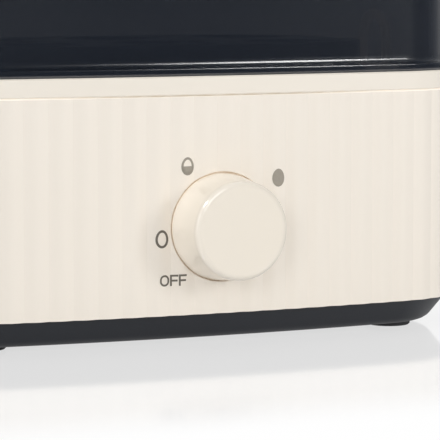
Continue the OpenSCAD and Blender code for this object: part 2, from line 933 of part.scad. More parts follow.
module cord_gland() {
    y_in = -front_y - inner;
    flange = gland_w / 2 + gland_lip;
    color(charcoal)
        difference() {
            union() {
                box(-gland_w / 2, gland_w / 2, y_in - 2, -front_y + gland_out, tray_top, gland_top);
                box(-flange, flange, -front_y, -front_y + gland_out, tray_top, gland_top + gland_lip);
                box(-flange, flange, y_in - 2, y_in - slack, tray_top, gland_top + gland_lip);
            }
            rod_y(gland_bore / 2, y_in - 3, -front_y + gland_out + 1, 0, gland_z);
        }
}

module lid_shell() {
    lip_r = 0.8;
    rib = ring_wall + 0.4;
    rib_h = 2.2;
    wall_u = lid_step + lip_r + hollow_r + 0.2;
    wall_z = ring_top + flange_h + hollow_r;
    top_c_z = lid_top - lid_round;
    tan_z = top_c_z + lid_round * sin(lid_draft);
    tan_u = wall_u + (tan_z - wall_z) * tan(lid_draft);
    top_c = [tan_u + lid_round * cos(lid_draft), top_c_z];
    color([0.2, 0.21, 0.24, 0.6])
        difference() {
            tub_loft(concat(
                bend(top_c, lid_round - lid_t, 90, 180 - lid_draft, 7),
                [[wall_u + lid_t, wall_z], [rib + 2.2, ring_top - rib_h]],
                [[rib, ring_top - rib_h], [rib, ring_top]],
                [[lid_step + edge, ring_top], [lid_step, ring_top + edge]],
                bend([lid_step + lip_r, ring_top + flange_h - lip_r], lip_r, 180, 90, 5),
                bend([wall_u - hollow_r, wall_z], hollow_r, 270, 360, 7),
                bend(top_c, lid_round, 180 - lid_draft, 90, 8)
            ));
            for (s = [-1, 1]) {
                rod_z(screw_r + slack, lid_top - 2 * lid_t, lid_top + lid_t, [s * arch_x, 0]);
                rod_z(vent_d / 2, lid_top - 2 * lid_t, lid_top + lid_t, [s * vent_at[0], vent_at[1]]);
            }
        }
}

module lid_handle() {
    color(cream)
        difference() {
            translate([0, arch_w / 2, lid_top - arch_drop])
                rotate([90, 0, 0])
                    rotate_extrude(angle = 180, $fn = fine)
                        translate([arch_r, arch_w / 2])
                            rounded(arch_t, arch_w, arch_edge);
            box(-2 * arch_r, 2 * arch_r, -arch_w, arch_w, lid_top - arch_r, lid_top);
            for (s = [-1, 1])
                rod_z(screw_r + run_gap, lid_top - lid_t, lid_top + handle_bite + slack, [s * arch_x, 0]);
        }
}

module handle_seals() {
    under = lid_top - lid_t;
    color(silicone)
        for (s = [-1, 1])
            difference() {
                rod_z(washer_r, under - washer_t, under, [s * arch_x, 0]);
                rod_z(screw_r + run_gap, under - washer_t - 1, under + 1, [s * arch_x, 0]);
            }
}

module handle_screws() {
    under = lid_top - lid_t - washer_t;
    color(steel)
        for (s = [-1, 1]) {
            rod_z(screw_r, under - head_h / 2, lid_top + handle_bite, [s * arch_x, 0]);
            rod_z(head_r, under - head_h, under, [s * arch_x, 0]);
        }
}

// Rack: a plate on a skirt with sloping egg seats, hung by two ears that carry the loop handles
module egg_rack() {
    low = rack_z - rack_t;
    top = low + rim_h;
    seat_r = egg_d / 2;
    color([0.13, 0.14, 0.17]) {
        difference() {
            union() {
                difference() {
                    translate([0, 0, low])
                        linear_extrude(height = rim_h)
                            rounded(rack_l, rack_d, rack_r);
                    translate([0, 0, low - rack_t])
                        linear_extrude(height = rim_h)
                            rounded(rack_l - 2 * rack_t, rack_d - 2 * rack_t, rack_r - rack_t);
                }
                for (p = eggs)
                    translate([p[0], p[1], top - seat_h])
                        cylinder(r1 = seat_r - seat_slope + collar, r2 = seat_r + collar, h = seat_h);
            }
            for (p = eggs)
                translate([p[0], p[1], top - 2 * seat_h])
                    cylinder(r1 = seat_r - 2 * seat_slope, r2 = seat_r + seat_slope, h = 3 * seat_h);
            for (i = [-0.5, 0.5], j = [-1 : 1])
                rod_z(drain_r, top - 2 * rack_t, top + rack_t, [i * egg_px, j * egg_py * 0.8]);
        }
        for (s = [-1, 1]) {
            x0 = rack_l / 2 - rack_t / 2;
            x1 = ear_x;
            box(s > 0 ? x0 : -x1, s > 0 ? x1 : -x0, -ear_w / 2, ear_w / 2, flange_top, rack_z);
            for (sy = [-1, 1])
                rod_z(loop_wire, rack_z - rack_t / 2, rack_z + loop_leg, [s * loop_x, sy * loop_r]);
            translate([s * loop_x, 0, rack_z + loop_leg])
                rotate([90, 0, 90])
                    rotate_extrude(angle = 180)
                        translate([loop_r, 0])
                            circle(r = loop_wire);
        }
    }
}

module in_place() {
    translate([0, housing_y, 0])
        children();
}

in_place() fluted_housing();
in_place() top_ring();
in_place() base_tray();
in_place() rubber_feet();
in_place() base_screws();
in_place() cord_gland();
in_place() heating_pan();
in_place() pan_seal();
in_place() pan_nuts();
in_place() heater_disc();
in_place() heating_element();
in_place() heat_shield();
in_place() shield_nut();
in_place() thermostat();
in_place() thermal_fuse();
in_place() boil_sensor();
in_place() control_board();
in_place() board_screws();
in_place() rotary_control();
in_place() control_nut();
in_place() relay();
in_place() buzzer();
in_place() film_capacitor();
in_place() board_terminals();
in_place() terminal_block();
in_place() block_screw();
in_place() leads();
in_place() tab_sleeves();
in_place() spindle();
in_place() knob();
in_place() knob_clip();
in_place() egg_rack();
in_place() lid_shell();
in_place() lid_handle();
in_place() handle_seals();
in_place() handle_screws();
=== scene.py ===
# %% [markdown]
# # An electric egg cooker, dressed for its picture
# The solid model of the cooker comes from a CAD program with every piece in its place. This lesson keeps
# those solids where they are and adds what makes them look real: a camera, a floor, soft light, finishes
# made of nodes, the printed scale round the knob, and the small marks that tools leave on metal.

# %% Load the solid model
import json
import math

import bmesh
import bpy
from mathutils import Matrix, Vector
from mathutils.bvhtree import BVHTree


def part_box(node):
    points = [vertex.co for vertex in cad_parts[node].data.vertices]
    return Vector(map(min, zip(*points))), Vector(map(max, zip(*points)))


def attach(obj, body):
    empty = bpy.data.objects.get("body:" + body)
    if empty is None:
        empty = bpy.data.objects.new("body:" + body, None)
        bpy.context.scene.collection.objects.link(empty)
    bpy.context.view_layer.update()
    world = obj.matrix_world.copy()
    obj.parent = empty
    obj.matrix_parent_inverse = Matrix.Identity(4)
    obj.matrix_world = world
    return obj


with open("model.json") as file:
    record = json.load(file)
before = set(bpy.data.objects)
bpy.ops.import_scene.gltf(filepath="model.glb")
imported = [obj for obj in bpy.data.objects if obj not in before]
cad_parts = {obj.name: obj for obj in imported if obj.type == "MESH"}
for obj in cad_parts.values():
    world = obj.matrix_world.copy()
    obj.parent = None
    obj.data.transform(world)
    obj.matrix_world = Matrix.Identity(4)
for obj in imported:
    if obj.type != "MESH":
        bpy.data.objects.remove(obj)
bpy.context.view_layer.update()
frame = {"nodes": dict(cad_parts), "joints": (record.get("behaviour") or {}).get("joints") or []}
nodes = frame["nodes"]

# %% [markdown]
# ## The camera
# A close view of the front, from the left and a little above. Straight lines meet so slowly in the picture
# that the camera must stand about a metre away with a long lens. The knob's place is known in the model and
# in the picture, so the camera is set by its direction from the knob and turned until the knob falls on its
# own pixel. A shifted lens would do the same, but turning needs no shift.

# %% Camera
picture_side = 440
focal_pixels = 2739.0
knob_pixel = (222.7, 226.6)
knob_foot = Vector(next(j["pos_m"] for j in frame["joints"] if j["name"] == "knob_turn"))
view_azimuth = math.radians(-23.9)
view_height = math.radians(5.86)
view_distance = 0.948

toward_camera = Vector((
    math.sin(view_azimuth) * math.cos(view_height),
    -math.cos(view_azimuth) * math.cos(view_height),
    math.sin(view_height)))
eye = knob_foot + view_distance * toward_camera
picture_right = (-toward_camera).cross(Vector((0, 0, 1))).normalized()
picture_up = picture_right.cross(-toward_camera)
metres_per_pixel = view_distance / focal_pixels
picture_middle = picture_side / 2
aim = (knob_foot
       + picture_right * (picture_middle - knob_pixel[0]) * metres_per_pixel
       + picture_up * (knob_pixel[1] - picture_middle) * metres_per_pixel)

lens = bpy.data.cameras.new("camera")
lens.sensor_width = 36.0
lens.lens = focal_pixels / picture_side * lens.sensor_width
lens.clip_start = 0.01
camera = bpy.data.objects.new("camera", lens)
camera.location = eye
camera.rotation_euler = (aim - eye).to_track_quat("-Z", "Y").to_euler()
bpy.context.scene.collection.objects.link(camera)
bpy.context.scene.camera = camera
print("camera at", tuple(round(v, 3) for v in eye), "lens", round(lens.lens, 1), "mm")

# %% [markdown]
# ## Writing finishes as sums
# A finish is a small graph of nodes. Drawing it by hand is fine for one surface, but here are many, so the
# graph is written as arithmetic: `Wire` is one output, and `wire * 2 + other` adds the Math nodes by itself.
# `Graph` has one method that makes any other node, and `Finish` is the graph of one material.

# %% Sockets that can be added and multiplied
class Wire:
    """One output socket. Each operator adds one Math node to the graph it belongs to."""

    def __init__(self, graph, socket):
        self.graph = graph
        self.socket = socket

    def combine(self, operation, first, second):
        return self.graph.node("ShaderNodeMath", {"operation": operation}, {0: first, 1: second})

    def __add__(self, other):
        return self.combine("ADD", self, other)

    def __radd__(self, other):
        return self.combine("ADD", other, self)

    def __sub__(self, other):
        return self.combine("SUBTRACT", self, other)

    def __rsub__(self, other):
        return self.combine("SUBTRACT", other, self)

    def __mul__(self, other):
        return self.combine("MULTIPLY", self, other)

    def __rmul__(self, other):
        return self.combine("MULTIPLY", other, self)

    def __lt__(self, other):
        return self.combine("LESS_THAN", self, other)

    def __gt__(self, other):
        return self.combine("GREATER_THAN", self, other)


print("Wire knows +, -, *, < and its mirror image >")

# %% Graphs
class Graph:
    """A graph whose nodes all come from one method: a type, then its settings, then its sockets."""

    def __init__(self, tree):
        self.tree = tree
        tree.nodes.clear()

    def node(self, kind, settings=None, sockets=None, out=0):
        made = self.tree.nodes.new(kind)
        for key, value in (settings or {}).items():
            setattr(made, key, value)
        for key, value in (sockets or {}).items():
            if isinstance(value, Wire):
                self.tree.links.new(value.socket, made.inputs[key])
            else:
                made.inputs[key].default_value = value
        return Wire(self, made.outputs[out]) if made.outputs else None


class Finish(Graph):
    """The graph of one material."""

    def __init__(self, name):
        self.material = bpy.data.materials.new(name)
        self.material.use_nodes = True
        super().__init__(self.material.node_tree)

    def place(self):
        return self.node("ShaderNodeTexCoord", out="Object")

    def coordinate(self, axis):
        return self.node("ShaderNodeSeparateXYZ", None, {0: self.place()}, out=axis)

    def aside(self):
        """How far a point lies left or right of the middle."""
        return self.node("ShaderNodeMath", {"operation": "ABSOLUTE"}, {0: self.coordinate("X")})

    def stretched(self, factors):
        settings = {"operation": "MULTIPLY"}
        return self.node("ShaderNodeVectorMath", settings, {0: self.place(), 1: factors})

    def noise(self, scale, detail, along=None):
        where = along or self.place()
        return self.node("ShaderNodeTexNoise", None, {"Vector": where, "Scale": scale, "Detail": detail})

    def between(self, first, second, share):
        settings = {"data_type": "RGBA"}
        return self.node("ShaderNodeMix", settings, {0: share, 6: first, 7: second}, out=2)

    def ease(self, value, low, high):
        """0 below low, 1 above high and a soft step between."""
        settings = {"interpolation_type": "SMOOTHSTEP"}
        sockets = {"Value": value, "From Min": low, "From Max": high}
        return self.node("ShaderNodeMapRange", settings, sockets)

    def bump(self, height, depth):
        return self.node("ShaderNodeBump", None, {"Height": height, "Distance": depth})

    def surface(self, sockets):
        shader = self.node("ShaderNodeBsdfPrincipled", None, sockets)
        self.node("ShaderNodeOutputMaterial", None, {"Surface": shader})
        return self.material


print("Finish has", [name for name in vars(Finish) if not name.startswith("_")])

# %% Colours and slots
def from_screen(red, green, blue):
    """A colour as picture programs write it, 0 to 255, turned into light."""
    def one(v):
        v = v / 255
        return v / 12.92 if v <= 0.04045 else ((v + 0.055) / 1.055) ** 2.4
    return (one(red), one(green), one(blue), 1.0)


def dress(material, *names):
    for name in names:
        slots = nodes[name].data.materials
        slots.clear()
        slots.append(material)


print("mid grey on the screen is", round(from_screen(128, 128, 128)[0], 3), "as light")

# %% [markdown]
# ## Round faces out of flat facets
# The CAD program hands over each curved face as narrow flat facets, which soft light would show. Shading
# them smooth would do for a ball, but it also smears real edges. So a chain of modifiers welds the facets,
# joins those that lie in one plane, shades everything smooth and splits the mesh again at the real edges.

# %% Smooth shading that keeps the edges
def all_smooth():
    """A modifier with one node, which marks every face as smooth."""
    group = bpy.data.node_groups.new("all smooth", "GeometryNodeTree")
    for side in ("INPUT", "OUTPUT"):
        group.interface.new_socket("Geometry", in_out=side, socket_type="NodeSocketGeometry")
    graph = Graph(group)
    start = graph.node("NodeGroupInput")
    smooth = graph.node("GeometryNodeSetShadeSmooth", None, {0: start})
    graph.node("NodeGroupOutput", None, {0: smooth})
    return group


smooth_group = all_smooth()
weld_reach = 0.000001
flat_within = math.radians(0.05)


def smooth_facets(name, sharp_from=28.0):
    """Rounds the shading of curved faces and keeps edges sharper than the angle, in degrees."""
    modifiers = nodes[name].modifiers
    modifiers.new("weld", "WELD").merge_threshold = weld_reach
    flat = modifiers.new("whole faces", "DECIMATE")
    flat.decimate_type = "DISSOLVE"
    flat.angle_limit = flat_within
    modifiers.new("all smooth", "NODES").node_group = smooth_group
    modifiers.new("sharp edges", "EDGE_SPLIT").split_angle = math.radians(sharp_from)
    modifiers.new("even normals", "WEIGHTED_NORMAL")


print("smoothing group has", len(smooth_group.nodes), "nodes")

# %% [markdown]
# ## Floor, background and light
# Product pictures are taken on a white glossy sheet in a light tent. The sheet shows as white, mirrors the
# dark base a little and takes a faint shadow. The Light Path node tells which rays come from the camera or
# from a mirror: those see a plain pale room, and all others see a softly lit one, so the pale background
# costs no extra light on the object.

# %% World
room_light = 0.52
room_colour = (1.0, 0.993, 0.982, 1.0)
backdrop_colour = (0.8, 0.8, 0.8, 1.0)
world = bpy.data.worlds.new("light tent")
world.use_nodes = True
bpy.context.scene.world = world
bpy.context.scene.view_settings.view_transform = "Standard"
sky = Graph(world.node_tree)
by_camera = sky.node("ShaderNodeLightPath", out="Is Camera Ray")
by_mirror = sky.node("ShaderNodeLightPath", out="Is Glossy Ray")
by_glass = sky.node("ShaderNodeLightPath", out="Is Transmission Ray")
room = sky.node("ShaderNodeBackground", None, {"Color": room_colour, "Strength": room_light})
backdrop = sky.node("ShaderNodeBackground", None, {"Color": backdrop_colour, "Strength": 1.0})
seen = by_camera + by_mirror + by_glass
around = sky.node("ShaderNodeMixShader", None, {0: seen, 1: room, 2: backdrop})
sky.node("ShaderNodeOutputWorld", None, {"Surface": around})
print("world: room light", room_light)

# %% [markdown]
# ## The sheet
# One face is enough for the floor. It reaches further back than forward, because the seam between the two
# halves of a square face would otherwise run under the cooker and show from below. Near the cooker the
# sheet is part paper, which takes the shadow, and part mirror. Both fade out toward the viewer, where the
# sheet of a real light tent curves up into plain white. From below, the sheet is clear.

# %% Floor
floor_half = 3.0
floor_back = 4.0
floor_mesh = bpy.data.meshes.new("floor")
floor_mesh.from_pydata(
    [(-floor_half, -floor_half, 0), (floor_half, -floor_half, 0),
     (floor_half, floor_back, 0), (-floor_half, floor_back, 0)], [], [(0, 1, 2, 3)])
floor = bpy.data.objects.new("floor", floor_mesh)
bpy.context.scene.collection.objects.link(floor)
print("floor is", 2 * floor_half, "m wide and", floor_half + floor_back, "m long")

# %% The finish of the sheet
plain_white = (1.0, 1.0, 1.0, 1.0)
paper_white = (0.91, 0.92, 0.94, 1.0)
paper_light = (0.93, 0.94, 0.96, 1.0)
fade_from = 0.17
fade_to = 0.23
paper_share = 0.12
paper_faded = 0.11
mirror_share = 0.25
mirror_blur = 0.08

sheet = Finish("white sheet")
by_camera = sheet.node("ShaderNodeLightPath", out="Is Camera Ray")
by_mirror = sheet.node("ShaderNodeLightPath", out="Is Glossy Ray")
mottle = sheet.noise(6.0, 2.0)
paper_colour = sheet.between(paper_white, paper_light, mottle)
paper = sheet.node("ShaderNodeBsdfDiffuse", None, {"Color": paper_colour})
bright = sheet.node("ShaderNodeEmission", None, {"Color": plain_white, "Strength": 1.0})
gloss = sheet.node("ShaderNodeBsdfGlossy", None, {"Color": plain_white, "Roughness": mirror_blur})
far = sheet.ease(0 - sheet.coordinate("Y"), fade_from, fade_to)
dull = paper_share - paper_faded * far
shaded = sheet.node("ShaderNodeMixShader", None, {0: dull, 1: bright, 2: paper})
mirrors = mirror_share * (1 - far)
shown = sheet.node("ShaderNodeMixShader", None, {0: mirrors, 1: shaded, 2: gloss})
either_way = sheet.node("ShaderNodeMixShader", None, {0: by_camera + by_mirror, 1: paper, 2: shown})
from_below = sheet.node("ShaderNodeNewGeometry", out="Backfacing")
clear = sheet.node("ShaderNodeBsdfTransparent")
one_way = sheet.node("ShaderNodeMixShader", None, {0: from_below, 1: either_way, 2: clear})
sheet.node("ShaderNodeOutputMaterial", None, {"Surface": one_way})
floor_mesh.materials.append(sheet.material)
print("floor mirrors", mirror_share, "of what stands on it")

# %% [markdown]
# ## Lamps
# Two small soft boxes stand low on the left and the right and a large one in front, so the knob throws a
# faint shadow to each side and the flutes show without hard edges. A top panel fills the lid and the pan.
# The knob stands proud and is shiny, so it has a soft box and a side fill of its own, and flags keep the
# others off it. Gloss is another matter: a mirror shows the lamp itself, as bright as it is. A panel and a
# strip for the lid and a panel for the knob are seen by gloss alone, so their streaks can be strong while
# the cooker stays evenly lit.

# %% Lamps
def soft_box(name, place, target, width, height, watts, gloss_only=False, only=(), but=()):
    """A panel lamp, sized in metres. Flags keep its light on the pieces in only, or off those in but."""
    lamp = bpy.data.lights.new(name, "AREA")
    lamp.shape = "RECTANGLE"
    lamp.size = width
    lamp.size_y = height
    lamp.energy = watts
    box = bpy.data.objects.new(name, lamp)
    box.location = place
    box.rotation_euler = (Vector(target) - Vector(place)).to_track_quat("-Z", "Y").to_euler()
    box.visible_camera = False
    box.visible_diffuse = not gloss_only
    bpy.context.scene.collection.objects.link(box)
    if only or but:
        reach = bpy.data.collections.new(name + " reach")
        for piece in (*only, *but):
            reach.objects.link(nodes[piece])
        for entry in reach.collection_objects:
            entry.light_linking.link_state = "EXCLUDE" if but else "INCLUDE"
        box.light_linking.receiver_collection = reach


knob = ("knob",)
lid = ("lid_shell",)
body_middle = (0.0, 0.007, 0.06)
lid_foot = (0.03, -0.06, 0.10)
soft_box("key soft box", (-0.20, -1.40, 0.45), body_middle, 1.0, 0.8, 2.55, but=knob)
soft_box("right soft box", (0.78, -1.10, 0.40), body_middle, 0.35, 0.35, 3.8, but=knob)
soft_box("left soft box", (-0.80, -1.08, 0.40), body_middle, 0.35, 0.35, 2.25, but=knob)
soft_box("top soft box", (0.0, 0.1, 1.2), body_middle, 1.0, 0.7, 2.0)
soft_box("knob soft box", (-0.32, -1.40, 0.80), body_middle, 1.0, 0.8, 10.8, only=knob)
soft_box("lid edge panel", (0.667, -0.676, 1.1), lid_foot, 0.33, 0.45, 125.0, gloss_only=True, only=lid)
soft_box("lid corner strip", (1.056, -1.056, 0.30), body_middle, 0.26, 0.9, 2.2, gloss_only=True, only=lid)
soft_box("knob side fill", (-1.1, -0.18, 0.30), knob_foot, 0.5, 0.5, 2.3, only=knob)
soft_box("knob panel", (-0.84, -0.29, 0.87), knob_foot, 0.12, 0.18, 4.5, gloss_only=True)

# %% [markdown]
# ## Moulded plastic
# Most pieces are plastic out of a steel mould. The mould is spark eroded, so the skin has a fine grain that
# spreads the light. A noise far finer than the flutes feeds the bump, and a slow one shifts the colour by a
# hair, as thick and thin walls do. One helper makes them all, and takes a function for what is special.

# %% Moulded plastic
cloud_scale = 14.0
grain_gloss = 0.12


def moulded(name, colour, other, roughness, grain, depth, extra=None, tint=None, glow=None):
    """Plastic between two screen colours. tint changes its colour by place, and glow adds light."""
    finish = Finish(name)
    cloud = finish.noise(cloud_scale, 2.0)
    fine = finish.noise(grain, 3.0)
    skin = finish.between(from_screen(*colour), from_screen(*other), cloud)
    sockets = {
        "Base Color": tint(finish, skin) if tint else skin,
        "Roughness": roughness + (fine - 0.5) * grain_gloss,
        "Normal": finish.bump(fine, depth),
    }
    if glow:
        sockets.update({"Emission Color": glow(finish), "Emission Strength": 1.0})
    sockets.update(extra or {})
    return finish.surface(sockets)


print("moulded plastic drifts in colour every", round(1000 / cloud_scale), "mm")

# %% [markdown]
# ## Light inside cream plastic
# Cream plastic lets light soak in a few millimetres. In the narrow seam under the ring and in the gap
# round the knob's foot it comes out again, tan instead of black. A shader that scatters light under the
# skin would show that, but it is slow and noisy on a line so thin. A weak painted glow, an emission that
# stands in for that light, does it instead, limited to the seam and the well and fading along them as it
# does on the real cooker.

# %% Painted glow in the seam and the gap
no_glow = (0, 0, 0, 1)
seam_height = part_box("fluted_housing")[1].z
seam_half = 0.0003
seam_painted_light = (0.042, 0.030, 0.013, 1)
seam_painted_light_at_ends = (0.20, 0.19, 0.18, 1)
seam_fade = (0.02, 0.075)
knob_low, knob_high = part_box("knob")
knob_face = knob_low.y
gap_share = 0.0005
well_radius = (knob_high.x - knob_low.x) / 2 + gap_share
well_glow_dim = (0.03, 0.018, 0.006, 1)
well_glow_bright = (0.085, 0.06, 0.035, 1)
well_rise = 0.018


def from_knob_axis(finish):
    flat = finish.node("ShaderNodeVectorMath", {"operation": "MULTIPLY_ADD"}, {
        0: finish.place(), 1: (1, 0, 1), 2: (-knob_foot.x, 0, -knob_foot.z)})
    return finish.node("ShaderNodeVectorMath", {"operation": "LENGTH"}, {0: flat}, out="Value")


def painted_well_glow(finish):
    """The painted glow in the gap round the knob, brighter at the top."""
    rise = finish.ease(finish.coordinate("Z"), knob_foot.z - well_rise, knob_foot.z + well_rise)
    return finish.between(well_glow_dim, well_glow_bright, rise)


def painted_seam_glow(finish):
    """The painted glow in the seam under the ring, brightest near the corners."""
    near = finish.node("ShaderNodeMath", {"operation": "COMPARE"}, {
        0: finish.coordinate("Z"), 1: seam_height, 2: seam_half})
    glow = finish.between(seam_painted_light, seam_painted_light_at_ends, finish.ease(finish.aside(), *seam_fade))
    return finish.between(no_glow, glow, near)


def housing_glow(finish):
    """Painted glow in the seam, and in the well on the front."""
    in_well = (from_knob_axis(finish) < well_radius) * (finish.coordinate("Y") < 0)
    return finish.between(painted_seam_glow(finish), painted_well_glow(finish), in_well)


print("seam at", round(seam_height, 4), "m, well", round(well_radius * 2000, 1), "mm across")

# %% Painted light on the knob's skirt and painted shade on its rim
rim_painted_shade = from_screen(230, 222, 209)
skirt_painted_light = from_screen(247, 239, 226)
rim_radii = (0.0146, 0.0166)
rim_depths = (knob_face + 0.0015, knob_face + 0.0030)
skirt_depths = (knob_foot.y - 0.0150, knob_foot.y)
sunk_depths = (knob_foot.y - 0.0001, knob_foot.y + 0.0003)


def knob_painted_light_and_shade(finish, skin):
    """Painted light makes the knob's skirt warmer and lighter than its face, and painted shade makes the
    rounded rim of the face a shade darker.
    """
    depth = finish.coordinate("Y")
    rim_shade_share = finish.ease(from_knob_axis(finish), *rim_radii) * (1 - finish.ease(depth, *rim_depths))
    skirt_light_share = finish.ease(depth, *skirt_depths)
    rim_shaded_skin = finish.between(skin, rim_painted_shade, rim_shade_share)
    return finish.between(rim_shaded_skin, skirt_painted_light, skirt_light_share)


def foot_glow(finish):
    """Painted glow on the foot of the skirt, where it sinks into the well."""
    sunk = finish.ease(finish.coordinate("Y"), *sunk_depths)
    return finish.between(no_glow, painted_well_glow(finish), sunk)


print("knob's face at y =", round(knob_face, 4))

# %% Cream pieces
cream = (239, 231, 220)
cream_shade = (237, 229, 217)
polish = {"Coat Weight": 0.4, "Coat Roughness": 0.06}
housing_plastic = moulded("cream moulded plastic", cream, cream_shade,
                          roughness=0.44, grain=2600.0, depth=0.00002, glow=housing_glow)
ring_plastic = moulded("cream smooth plastic", (236, 229, 217), (234, 226, 214),
                       roughness=0.36, grain=3200.0, depth=0.00001, glow=painted_seam_glow)
handle_plastic = moulded("cream handle plastic", cream, cream_shade,
                         roughness=0.40, grain=2800.0, depth=0.00002)
knob_plastic = moulded("cream glossy plastic", (236, 228, 215), (237, 228, 213),
                       roughness=0.2, grain=3600.0, depth=0.000004,
                       extra=polish, tint=knob_painted_light_and_shade, glow=foot_glow)
dress(housing_plastic, "fluted_housing")
dress(ring_plastic, "top_ring")
dress(handle_plastic, "lid_handle")
dress(knob_plastic, "knob")
smooth_facets("top_ring")
smooth_facets("fluted_housing", sharp_from=15.0)
print("cream pieces dressed")

# %% [markdown]
# ## Dark plastic and rubber
# The base and the rack are dark plastic from the same kind of mould. The loops at the ends of the rack are a
# lighter grey, and a faint painted glow, an emission that stands in for the little light under the lid,
# makes them brighter still. Feet and gland are dull black rubber, and the seals are red silicone.

# %% Dark plastic and rubber
loop_grey = from_screen(165, 160, 156)
painted_loop_light = (0.075, 0.067, 0.060, 1)
loop_reach = (0.0860, 0.0875)


def grey_loops(finish, skin):
    return finish.between(skin, loop_grey, finish.ease(finish.aside(), *loop_reach))


# A faint painted glow on the loops: emission standing in for the light that reaches them under the lid.
def painted_loop_glow(finish):
    return finish.between(no_glow, painted_loop_light, finish.ease(finish.aside(), *loop_reach))


base_plastic = moulded("charcoal moulded plastic", (16, 20, 28), (20, 24, 32),
                       roughness=0.5, grain=2200.0, depth=0.00003, extra={"Specular IOR Level": 0.35})
rack_plastic = moulded("dark rack plastic", (24, 27, 37), (28, 31, 41),
                       roughness=0.28, grain=2400.0, depth=0.00001, tint=grey_loops, glow=painted_loop_glow)
foot_rubber = moulded("foot rubber", (40, 40, 42), (46, 46, 48),
                      roughness=0.8, grain=1500.0, depth=0.00004)
gland_rubber = moulded("gland rubber", (38, 38, 40), (44, 44, 46),
                       roughness=0.7, grain=1500.0, depth=0.00004)
seal_rubber = moulded("silicone seal", (196, 96, 66), (204, 106, 74),
                      roughness=0.6, grain=1800.0, depth=0.00003)
dress(base_plastic, "base_tray")
smooth_facets("base_tray")
dress(rack_plastic, "egg_rack")
dress(foot_rubber, "rubber_feet")
dress(gland_rubber, "cord_gland")
dress(seal_rubber, "pan_seal", "handle_seals")
print("dark plastic and rubber dressed")

# %% [markdown]
# ## The smoked lid
# The lid is clear plastic with a dark tint. It mirrors the room on its skin and lets a little of the rack
# show through. Real refraction would be slow and noisy here and the wall is thin, so the tint is done with
# Alpha: most of the surface is dark, and a small share lets the light straight through. Where a front corner
# curves away, a line of sight passes through more plastic, so Layer Weight makes it denser there. The lower
# edge of the foot is painted a lighter grey, a painted reflection of the cream ring below, and shows as a
# light line on the ring.

# %% Smoked plastic
lid_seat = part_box("top_ring")[1].z
lid_low, lid_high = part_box("lid_shell")
lid_middle_y = (lid_low.y + lid_high.y) / 2
lid_density = 0.69
corner_density = 0.29
density_drift = 0.02
lid_roughness = 0.19
roughness_drift = 0.02
aslant_range = (0.22, 0.6)
corner_aside = (0.072, 0.080)
corner_forward = (0.036, 0.044)
reflection_line_heights = (lid_seat + 0.0006, lid_seat + 0.0010)
painted_reflection_grey = from_screen(108, 108, 109)

smoke = Finish("smoked clear plastic")
drift = smoke.noise(9.0, 2.0)
ripple = smoke.noise(30.0, 1.0)
facing = smoke.node("ShaderNodeLayerWeight", None, {"Blend": 0.5}, out="Facing")
aslant = smoke.ease(facing, *aslant_range)
forward = lid_middle_y - smoke.coordinate("Y")
corner = smoke.ease(smoke.aside(), *corner_aside) * smoke.ease(forward, *corner_forward)
# The foot's lower edge is painted lighter grey: a painted reflection of the cream ring.
reflection_line = 1 - smoke.ease(smoke.coordinate("Z"), *reflection_line_heights)
tinted = smoke.between(from_screen(29, 34, 43), from_screen(33, 38, 47), drift)
lid_plastic = smoke.surface({
    "Base Color": smoke.between(tinted, painted_reflection_grey, reflection_line),
    "Roughness": lid_roughness + drift * roughness_drift,
    "IOR": 1.15,
    "Alpha": lid_density + drift * density_drift + corner * aslant * corner_density,
    "Normal": smoke.bump(ripple, 0.000001),
})
dress(lid_plastic, "lid_shell")
smooth_facets("lid_shell", sharp_from=40.0)
print("lid lets", round(1 - lid_density, 2), "of the light through each face")

# %% [markdown]
# ## Metal
# The pan is drawn from stainless sheet and brushed along its length. Inside, the fasteners are zinc plated,
# the disc and shield are rolled aluminium and the element is dull from heat. Brush marks are a noise that
# is squeezed across the brush's way and so runs long the other way.

# %% Brushed and plated metal
stain_scale = 25.0
streak_gloss = 0.25
streak_depth = 0.00001


def metal(name, colour, other, roughness, streak):
    """Metal between two screen colours. streak counts the marks per metre along x, y and z."""
    finish = Finish(name)
    lines = finish.noise(1.0, 3.0, finish.stretched(streak))
    stain = finish.noise(stain_scale, 3.0)
    return finish.surface({
        "Base Color": finish.between(from_screen(*colour), from_screen(*other), stain),
        "Metallic": 1.0,
        "Roughness": roughness + (lines - 0.5) * streak_gloss,
        "Normal": finish.bump(lines, streak_depth),
    })


pan_steel = metal("brushed pan steel", (205, 206, 208), (196, 196, 197), 0.3, (40.0, 2500.0, 2500.0))
zinc = metal("zinc plate", (190, 192, 196), (176, 178, 180), 0.35, (900.0, 900.0, 900.0))
rolled = metal("rolled aluminium", (208, 208, 207), (196, 196, 196), 0.38, (60.0, 1800.0, 600.0))
heated = metal("heat dulled tube", (120, 114, 108), (98, 92, 90), 0.5, (700.0, 700.0, 700.0))
brass = metal("turned brass", (196, 168, 108), (182, 150, 92), 0.32, (500.0, 500.0, 3000.0))
dress(pan_steel, "heating_pan")
smooth_facets("heating_pan")
dress(zinc, "base_screws", "pan_nuts", "shield_nut", "board_screws", "control_nut", "block_screw",
      "spindle", "knob_clip", "handle_screws")
dress(rolled, "heater_disc", "heat_shield")
dress(heated, "heating_element")
dress(brass, "boil_sensor")
print("metal dressed")

# %% [markdown]
# ## Parts inside the housing
# Nobody sees these while the cooker is whole, but they can be taken apart in the model, so each has its own
# finish: the green board, the dark rotary control, the blue relay case, the yellow capacitor and so on.

